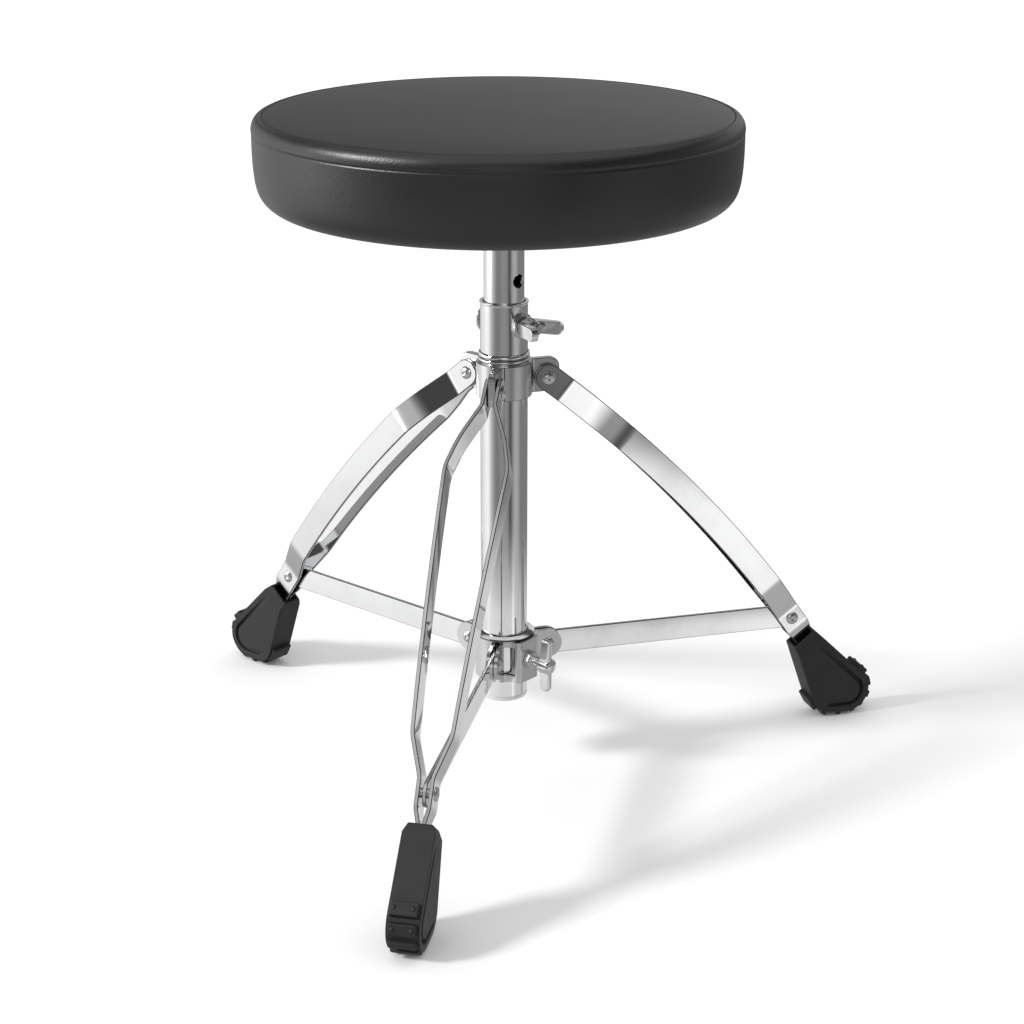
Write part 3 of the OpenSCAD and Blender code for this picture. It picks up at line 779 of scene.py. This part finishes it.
hub_in, hub_out = 32.5, 41.5
hub = turned([(0, tube_r + 0.4), (2.8, tube_r + 0.4), (3.3, tube_r + 1.4), (3.3, hub_in - 1),
              (4.9, hub_in), (5.4, hub_in + 1.2), (5.3, hub_out - 1.5), (4.7, hub_out - 0.4),
              (3.2, hub_out), (0, hub_out + 0.2)], along_bolt(*bolt), 64)
wings = [wing(bolt, (36.4, 0, 2.5), (37.0, 0, 17.5), 6.6, 4.4, True, 1.0),
         wing(bolt, (36.4, 0, -2.5), (36.6, 0, -17.8), 6.8, 4.4, True, 3.0)]
piece("lower_wing_bolt", joined(hub, *wings), "wing_bolt", cast, 0.9,
      round_steps=4)

# ---- Seat post ----
# The post is a thinner chromed tube with cross holes at even steps. The lock bolt
# goes through one of them, and its open lower end is plugged.

post_low, post_high = node_box("seat_post")
post_r, post_wall, hole_r = post_high.x, 1.6, 4.5
lock_z = joint["wing_nut_spin"]["pos_m"][2] / mm
lock_turn = atan2(joint["wing_nut_spin"]["axis"][1], joint["wing_nut_spin"]["axis"][0])
pitch = 28.0
around = 64
step = 2 * pi * post_r / around
rings = round((post_high.z - post_low.z) / step)
post = bmesh.new()
bmesh.ops.create_grid(post, x_segments=around, y_segments=rings, size=0.5)
holes = [(lock_turn + half_turn, lock_z + k * pitch)
         for half_turn in (0, pi) for k in range(-3, 2)]
for v in post.verts:
    angle = lock_turn + 2 * pi * (v.co.x + 0.5)
    z = post_low.z + (v.co.y + 0.5) * (post_high.z - post_low.z)
    v.co = Vector((post_r * cos(angle), post_r * sin(angle), z))
bmesh.ops.remove_doubles(post, verts=post.verts, dist=1e-4)


def from_hole(co, hole):
    """How far a point on the post lies from a hole's middle, round it and up."""
    angle, z = hole
    swing = (atan2(co.y, co.x) - angle + pi) % (2 * pi) - pi
    return Vector((swing * post_r, co.z - z))


for hole in holes:
    patch = [f for f in post.faces
             if max(map(abs, from_hole(f.calc_center_median(), hole))) < hole_r]
    if not patch:
        continue
    rim = {v for f in patch for v in f.verts
           if any(g not in patch for g in v.link_faces)}
    near = {v for r in rim for e in r.link_edges for v in e.verts} - \
        {v for f in patch for v in f.verts}
    bmesh.ops.delete(post, geom=patch, context="FACES")
    for verts, radius, share in ((rim, hole_r, 1.0), (near, hole_r + 1.6, 0.45)):
        for v in verts:
            flat = from_hole(v.co, hole)
            flat = flat.lerp(flat.normalized() * radius, share)
            angle, z = hole
            reach = hypot(v.co.x, v.co.y)
            across = angle + asin(max(-1, min(1, flat.x / post_r)))
            v.co = Vector((reach * cos(across), reach * sin(across), z + flat.y))
bmesh.ops.recalc_face_normals(post, faces=post.faces)
if sum(f.normal.dot(Vector((f.calc_center_median().x, f.calc_center_median().y, 0)))
       for f in post.faces) < 0:
    bmesh.ops.reverse_faces(post, faces=post.faces)
piece("seat_post", post, "seat", polished, 0.3, thickness=post_wall, side=-1)

plastic, place = new_finish("black_plastic")
cloud = place.noise(300, 3)
surface(place, Base_Color=cloud.mix(grey(0.02), grey(0.035)), Roughness=0.4 + 0.2 * cloud,
        Normal=bump(place, cloud, 0.00002))
plug_low = node_box("post_plug")[0].z
piece("post_plug", turned([
    (0, plug_low + 0.4), (post_r - 2, plug_low), (post_r, plug_low + 0.6),
    (post_r, plug_low + 2), (post_r - post_wall, plug_low + 2),
    (post_r - post_wall, plug_low + 12), (0, plug_low + 12)]),
    "seat", plastic, 0.3)

# ---- Height lock ----
# A carriage bolt goes across tube and post. Its domed head sits on one side, and a
# washer and a cast wing nut with two forward wings clamp it on the other.

head_r, head_h, washer_r, washer_t = 9.0, 4.0, 8.25, 1.6
stud_out = node_box("height_bolt")[1].x / cos(lock_turn)
nut_in = tube_r + washer_t + 0.1
back = along_bolt(lock_turn + pi, lock_z)
front = along_bolt(lock_turn, lock_z)
head = turned([(0, tube_r + head_h), (3.2, tube_r + head_h * 0.93),
               (6.0, tube_r + head_h * 0.68), (8.0, tube_r + head_h * 0.34),
               (head_r, tube_r + 0.35), (head_r - 0.2, tube_r - 0.6), (4, tube_r - 0.9),
               (4, post_r + 0.4), (0, post_r + 0.4)], back, 64)
stud = turned([(0, post_r + 0.4), (3.9, post_r + 0.4), (3.9, nut_in + 8.6),
               (3.6, nut_in + 9.2), (3.6, stud_out - 0.7), (2.9, stud_out), (0, stud_out)],
              front, 48)
piece("height_bolt", joined(head, stud), "base", pressed, 0.25)
piece("height_washer", turned([
    (4.1, tube_r - 1.6), (washer_r - 2.2, tube_r - 1.2), (washer_r, tube_r),
    (washer_r, tube_r + washer_t), (4.1, tube_r + washer_t)], front, 64),
    "base", pressed, 0.3)
hub = turned([(4.15, nut_in), (6.1, nut_in), (6.5, nut_in + 0.8), (6.3, nut_in + 7),
              (5.4, nut_in + 9), (4.15, nut_in + 9)], front, 64)
wings = [wing((lock_turn, lock_z), (nut_in + 3.0, side * 5.2, 0), (37.6, side * 12.8, 0),
              8.4, 5.4, False, 3.6) for side in (-1, 1)]
piece("height_wing_nut", joined(hub, *wings), "wing_nut", cast, 0.9,
      round_steps=4)

# ---- Seat plate ----
# A pressed steel disc with a shallow rib is screwed under the board. The socket that
# takes the post is welded to it, and a set bolt pinches the post.

plate_low, plate_high = node_box("seat_plate")
plate_t = 3.0
plate_r, plate_z = plate_high.x, plate_high.z - plate_t
socket_r, socket_low = post_r + 3, plate_low.z
clamp_z = socket_low + 10
plate = turned([
    (post_r, socket_low), (socket_r, socket_low), (socket_r, plate_z - 2.4),
    (socket_r + 2.2, plate_z), (26, plate_z), (28, plate_z - 1.1), (33, plate_z - 1.1),
    (35, plate_z), (plate_r - 4, plate_z), (plate_r - 2.5, plate_z - 0.7),
    (plate_r, plate_z - 0.6), (plate_r, plate_high.z), (post_r, plate_high.z)], steps=128)
boss = turned([(3.1, post_r + 0.5), (7, post_r + 1.5), (7, socket_r + 4.2),
               (6.2, socket_r + 5), (3.1, socket_r + 5)], along_bolt(lock_turn, clamp_z), 48)
piece("seat_plate", joined(plate, boss), "seat", pressed, 0.4)

zinc, place = new_finish("zinc_plate")
bloom = place.noise(420, 3)
surface(place, Base_Color=bloom.mix((0.52, 0.53, 0.55, 1), (0.68, 0.69, 0.70, 1)),
        Metallic=1.0, Roughness=0.26 + 0.16 * bloom, Normal=bump(place, bloom, 0.00002))
clamp = joined(
    hexagon(5.7, 4, along_bolt(lock_turn, clamp_z) @ Matrix.Translation((0, 0, socket_r + 8))),
    turned([(0, post_r + 0.2), (3, post_r + 0.2), (3, socket_r + 8.1), (0, socket_r + 8.1)],
           along_bolt(lock_turn, clamp_z), 32))
piece("seat_clamp_bolt", clamp, "seat", zinc, 0.4)

screw_low, screw_high = node_box("seat_screws")
screw_at = 32.0
screws = []
for x in (-screw_at, screw_at):
    for y in (-screw_at, screw_at):
        spot = Matrix.Translation((x, y, 0))
        screws.append(hexagon(5.6, plate_z - screw_low.z, spot @
                              Matrix.Translation((0, 0, screw_low.z))))
        screws.append(turned([(0, plate_z - 1.0), (7.2, plate_z - 1.0), (7.2, plate_z),
                              (2.9, plate_z), (2.9, screw_high.z), (0, screw_high.z)],
                             spot, 32))
piece("seat_screws", joined(*screws), "seat", zinc, 0.35)

# ---- Seat board ----
# A disc of plywood carries the pad. Its underside is stained black, and the veneer's
# grain shows faintly between the plate and the turned-in hem.

plywood, place = new_finish("plywood")
grain = place.stretched((0.12, 1, 1)).noise(190, 5, 0.65)
flecks = place.stretched((0.05, 1, 1)).noise(900, 2)
figure = place.stretched((0.3, 1, 1)).noise(26, 2)
tone = (0.55 * grain + 0.25 * flecks + 0.3 * figure).between(0.3, 0.8)
surface(place, Base_Color=tone.mix((0.050, 0.044, 0.038, 1), (0.020, 0.017, 0.015, 1)),
        Roughness=0.55 + 0.25 * flecks, Normal=bump(place, grain + flecks, 0.00012))
wear("seat_board", plywood)
wear("tee_nuts", zinc)

# ---- Cushion ----
# Foam under a cover of fine-grained black vinyl. The top is top-stitched beside its
# edge, a narrow band runs round it, and the side is drawn in under the board.

vinyl, place = new_finish("black_vinyl")
cells = place.node("ShaderNodeTexVoronoi", {"feature": "F1"}, {"Vector": place, "Scale": 780.0})
creases = place.node("ShaderNodeTexVoronoi", {"feature": "DISTANCE_TO_EDGE"}, {
    "Vector": place, "Scale": 520.0})
soft = place.noise(14, 3)
pores = place.noise(3200, 2)
grain_height = 0.5 * creases.between(0.0, 0.16) + 0.3 * (1 - cells) + 0.25 * pores
surface(place, Base_Color=(0.5 * soft + 0.5 * grain_height).mix(
    (0.0025, 0.0025, 0.0026, 1), (0.0075, 0.0075, 0.0078, 1)),
    Roughness=0.31 + 0.06 * soft + 0.05 * pores, Specular_IOR_Level=0.75,
    Normal=bump(place, grain_height, 0.00006))

cover_low, cover_high = node_box("seat_cover")
seat_r, base_z, crown_z = cover_high.x, cover_low.z, cover_high.z
edge_z = crown_z - 4
stitch_r, seam_r, band_z = seat_r - 6.6, seat_r - 4.2, edge_z - 9
board_low, board_high = node_box("seat_board")
hem_in = board_high.x - 20
crown = 3.0


def top_z(r):
    return edge_z + crown * (1 - (r / stitch_r) ** 2)


seam_profile = [(r * stitch_r / 30, top_z(r * stitch_r / 30)) for r in range(0, 30)] + [
    (stitch_r - 0.7, edge_z + 0.15), (stitch_r, edge_z - 0.75), (stitch_r + 0.7, edge_z + 0.1),
    (stitch_r + 1.5, edge_z + 0.2), (seam_r - 0.2, edge_z - 0.9), (seam_r + 0.5, edge_z - 0.5),
    (seam_r + 1.7, edge_z - 1.4), (seat_r - 1.2, edge_z - 3.0), (seat_r - 0.3, edge_z - 5.2),
    (seat_r, edge_z - 7.4), (seat_r - 0.1, band_z + 0.7), (seat_r - 1.1, band_z),
    (seat_r - 0.2, band_z - 0.8)]
side_profile = [(seat_r - 0.3 - 1.6 * (k / 11) ** 3, band_z - 1.5 - 2.7 * k)
                for k in range(12)]
turn_in = [(seat_r - 3.0, base_z + 10.5), (seat_r - 4.6, base_z + 7.2),
           (seat_r - 7.2, base_z + 4.2), (seat_r - 10.4, base_z + 1.9),
           (seat_r - 14, base_z + 0.6), (seat_r - 18, base_z + 0.1),
           (seat_r - 24, base_z), (hem_in + 2, base_z), (hem_in, base_z + 0.6),
           (hem_in, base_z + 1.0)]
# The foam is closed round the board, a little clear of it
hollow_r, hollow_z = board_high.x + 0.3, board_high.z + 0.3
hollow = [(hollow_r - 8, board_low.z - 0.15), (hollow_r, board_low.z - 0.15),
          (hollow_r, hollow_z), (hollow_r - 12, hollow_z), (hollow_r * 0.5, hollow_z),
          (0, hollow_z)]
profile = seam_profile + side_profile + turn_in + hollow
cushion = bmesh.new()
line = [cushion.verts.new((r, 0, z)) for r, z in profile]
threads = [cushion.edges.new(pair) for pair in zip(line, line[1:])]
bmesh.ops.spin(cushion, geom=line + threads, cent=(0, 0, 0), axis=UP, dvec=(0, 0, 0),
               angle=2 * pi, steps=180, use_merge=True, use_duplicate=False)
bmesh.ops.remove_doubles(cushion, verts=cushion.verts, dist=1e-4)
bmesh.ops.recalc_face_normals(cushion, faces=cushion.faces)
if max(cushion.faces, key=lambda f: f.calc_center_median().z).normal.z < 0:
    bmesh.ops.reverse_faces(cushion, faces=cushion.faces)
# The cover is pulled on by hand and sits a little to one side of the post
off_centre = Vector((-3.4, -0.75, 0))
bmesh.ops.translate(cushion, vec=off_centre, verts=cushion.verts)
bmesh.ops.scale(cushion, vec=(mm, mm, mm), verts=cushion.verts)
mesh = mesh_of("cushion", cushion)
mesh.shade_smooth()
mesh.materials.append(vinyl)
pad = in_scene("cushion", mesh)
# The panels swell between their seams, which are held, and by 1.3 mm at the most
pressure, swell_frames, most_swell = 4, 20, 1.3 * mm
held = pad.vertex_groups.new(name="seams")
for v in mesh.vertices:
    flat, z = v.co / mm - off_centre, v.co.z / mm
    r = hypot(flat.x, flat.y)
    free_top = r < stitch_r - 1.5 and z > edge_z - 1
    free_band = r > seam_r + 1 and band_z + 1.5 < z < edge_z - 1
    free_side = band_z - 30 < z < band_z - 1.6
    if not (free_top or free_band or free_side):
        held.add([v.index], 1.0, "REPLACE")
rest = [v.co.copy() for v in mesh.vertices]
cloth = pad.modifiers.new("swell", "CLOTH")
cloth.settings.use_pressure = True
cloth.settings.uniform_pressure_force = pressure
cloth.settings.effector_weights.gravity = 0
cloth.settings.vertex_group_mass = "seams"
scene = bpy.context.scene
for frame_at in range(1, swell_frames + 1):
    scene.frame_set(frame_at)
swollen = pad.evaluated_get(bpy.context.evaluated_depsgraph_get())
moved = [v.co.copy() for v in swollen.data.vertices]
pad.modifiers.remove(cloth)
scene.frame_set(1)
for v, start, end in zip(mesh.vertices, rest, moved):
    shift = end - start
    if shift.length > 0:
        v.co = start + shift.normalized() * most_swell * tanh(shift.length / most_swell)
smooth = pad.modifiers.new("smooth", "SUBSURF")
smooth.levels = smooth.render_levels = 1
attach(pad, "seat")
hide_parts("seat_cover", "seat_foam")

# Black thread in short stitches, sunk a little into the top, and steel staples that
# hold the hem under the board
thread, place = new_finish("black_thread")
twist = place.noise(5200, 2)
surface(place, Base_Color=twist.mix((0.012, 0.012, 0.012, 1), (0.035, 0.035, 0.036, 1)),
        Roughness=0.5 + 0.2 * twist)
stitches = bmesh.new()
stitch_count = 240
for k in range(stitch_count):
    one = bmesh.ops.create_icosphere(stitches, subdivisions=1, radius=1)["verts"]
    bmesh.ops.scale(stitches, vec=(0.38, 1.25, 0.34), verts=one)
    bmesh.ops.translate(stitches, vec=(stitch_r, 0, edge_z - 0.35), verts=one)
    bmesh.ops.rotate(stitches, cent=(0, 0, 0), verts=one,
                     matrix=Matrix.Rotation(2 * pi * k / stitch_count, 3, "Z"))
bmesh.ops.translate(stitches, vec=off_centre, verts=stitches.verts)
piece("top_stitching", stitches, "seat", thread, 0, nodes=[])
staples = bmesh.new()
staple_low = node_box("cover_staples")[0]
staple_r = board_high.x - 10
staple_count = 24
for k in range(staple_count):
    one = bmesh.ops.create_cube(staples, size=1)["verts"]
    bmesh.ops.scale(staples, vec=(1.0, 10, 0.6), verts=one)
    bmesh.ops.translate(staples, vec=(staple_r, 0, staple_low.z + 0.3), verts=one)
    bmesh.ops.rotate(staples, cent=(0, 0, 0), verts=one,
                     matrix=Matrix.Rotation(2 * pi * (k + 0.5) / staple_count, 3, "Z"))
piece("cover_staples", staples, "seat", zinc, 0.2)

# ---- Floor, light and camera ----
# A pale seamless floor, one soft key light and a pale room. Only mirror reflections see
# the room's light and dark panels. The camera stands in front and looks a little down.

ground = bmesh.new()
bmesh.ops.create_circle(ground, cap_ends=True, segments=64, radius=14)
floor = in_scene("floor", mesh_of("floor", ground))
paper, place = new_finish("paper_white")
cloud = place.noise(3, 2)
surface(place, Base_Color=cloud.mix(grey(0.90), grey(0.93)), Roughness=0.85 + 0.1 * cloud)
floor.data.materials.append(paper)
floor.visible_glossy = False

camera_turn, camera_down = radians(12.33), radians(17.45)
camera_away, camera_z = 1.3121, 0.6503
lens = bpy.data.cameras.new("camera")
lens.lens, lens.sensor_width = 76.57, 36.0
lens.shift_x, lens.shift_y = 0.0078, -0.0945
camera = in_scene("camera", lens)
camera.location = (camera_away * sin(camera_turn), -camera_away * cos(camera_turn), camera_z)
camera.rotation_euler = (pi / 2 - camera_down, 0, camera_turn)
bpy.context.scene.camera = camera

room = bpy.data.worlds.new("room")
bpy.context.scene.world = room
room.use_nodes = True
room.cycles.sampling_method = "NONE"
room.node_tree.nodes.clear()
place = Socket(room.node_tree).node("ShaderNodeTexCoord", output="Generated")
right = (cos(camera_turn), sin(camera_turn), 0)
toward = (sin(camera_turn), -cos(camera_turn), 0)


def along(direction):
    return place.node("ShaderNodeVectorMath", {"operation": "DOT_PRODUCT"},
                      {0: place, 1: direction}, 1)


def panels(*stops):
    """Brightness round the room: (degrees right of the camera's side, tone) pairs."""
    return swing.node("ShaderNodeValToRGB", {"stops": [
        (0.5 + degrees / 360, tone) for degrees, tone in stops]}, {"Fac": swing})


def above(start, end):
    """0 below start, 1 over end, in degrees up from level."""
    return height.between(sin(radians(start)), sin(radians(end)))


# 0 is straight behind the throne, 0.5 where the camera stands, and it grows to the right
swing = place.maths("ARCTAN2", along(right), along(toward)) * (0.5 / pi) + 0.5
height = along((0, 0, 1))
boards = panels(
    (-180, 0.35), (-134, 0.80), (-110, 0.9), (-100, 1.0), (-82, 1.0), (-72, 0.72),
    (-62, 0.48), (-52, 0.33), (-44, 0.24), (-35, 0.20), (-25, 0.21), (-8, 0.27), (8, 0.265),
    (20, 0.215), (25, 0.12), (31, 0.085), (37, 0.13), (43, 0.25), (50, 0.36), (62, 0.43),
    (76, 0.32), (90, 0.20), (121, 0.21), (150, 0.20), (180, 0.35))
ground_glow = panels(
    (-180, 0.7), (-116, 0.8), (-100, 0.85), (-84, 0.95), (-70, 0.85), (-40, 0.80),
    (-14, 0.72), (0, 0.70), (20, 0.70), (30, 0.72), (39, 0.72), (46, 1.08), (53, 0.7),
    (70, 0.56), (80, 0.58), (90, 0.62), (98, 0.34), (104, 0.34), (110, 0.61), (180, 0.7))
lamps = panels(
    (-180, 0.42), (-163, 0.26), (-110, 1.2), (-80, 1.2), (-62, 0.05), (-45, 0.06),
    (-20, 0.3), (-4, 0.9), (6, 1.15), (12, 0.7), (20, 0.25), (28, 0.05), (60, 0.12),
    (100, 0.3), (163, 0.75), (180, 0.42))
level = above(-23.2, -20.2).mix(ground_glow, boards)
softbox = panels((-112, 0), (-100, 1), (-82, 1), (-70, 0))
level = (softbox * above(-15, -12.5)).mix(level, grey(2.2))
level = above(-3, 6).mix(level, lamps)
level = above(20, 27).mix(level, grey(0.07))
level = above(36, 50).mix(level, grey(0.75))
level = above(-34, -24).mix(grey(0.42), level)
mirrored = place.node("ShaderNodeLightPath", output=3)
light = place.node("ShaderNodeBackground", {}, {
    "Color": mirrored.mix(grey(0.86), level), "Strength": 1.0})
room.node_tree.links.new(light.output,
                         room.node_tree.nodes.new("ShaderNodeOutputWorld").inputs[0])

key = bpy.data.lights.new("key", "SUN")
key.angle, key.energy = radians(11), 2.3
lamp = in_scene("key", key)
key_turn, key_up = radians(209), radians(33)
lamp.rotation_euler = Vector((-cos(key_up) * cos(key_turn), -cos(key_up) * sin(key_turn),
                              -sin(key_up))).to_track_quat("-Z", "Y").to_euler()

bpy.context.scene.view_settings.view_transform = "Standard"
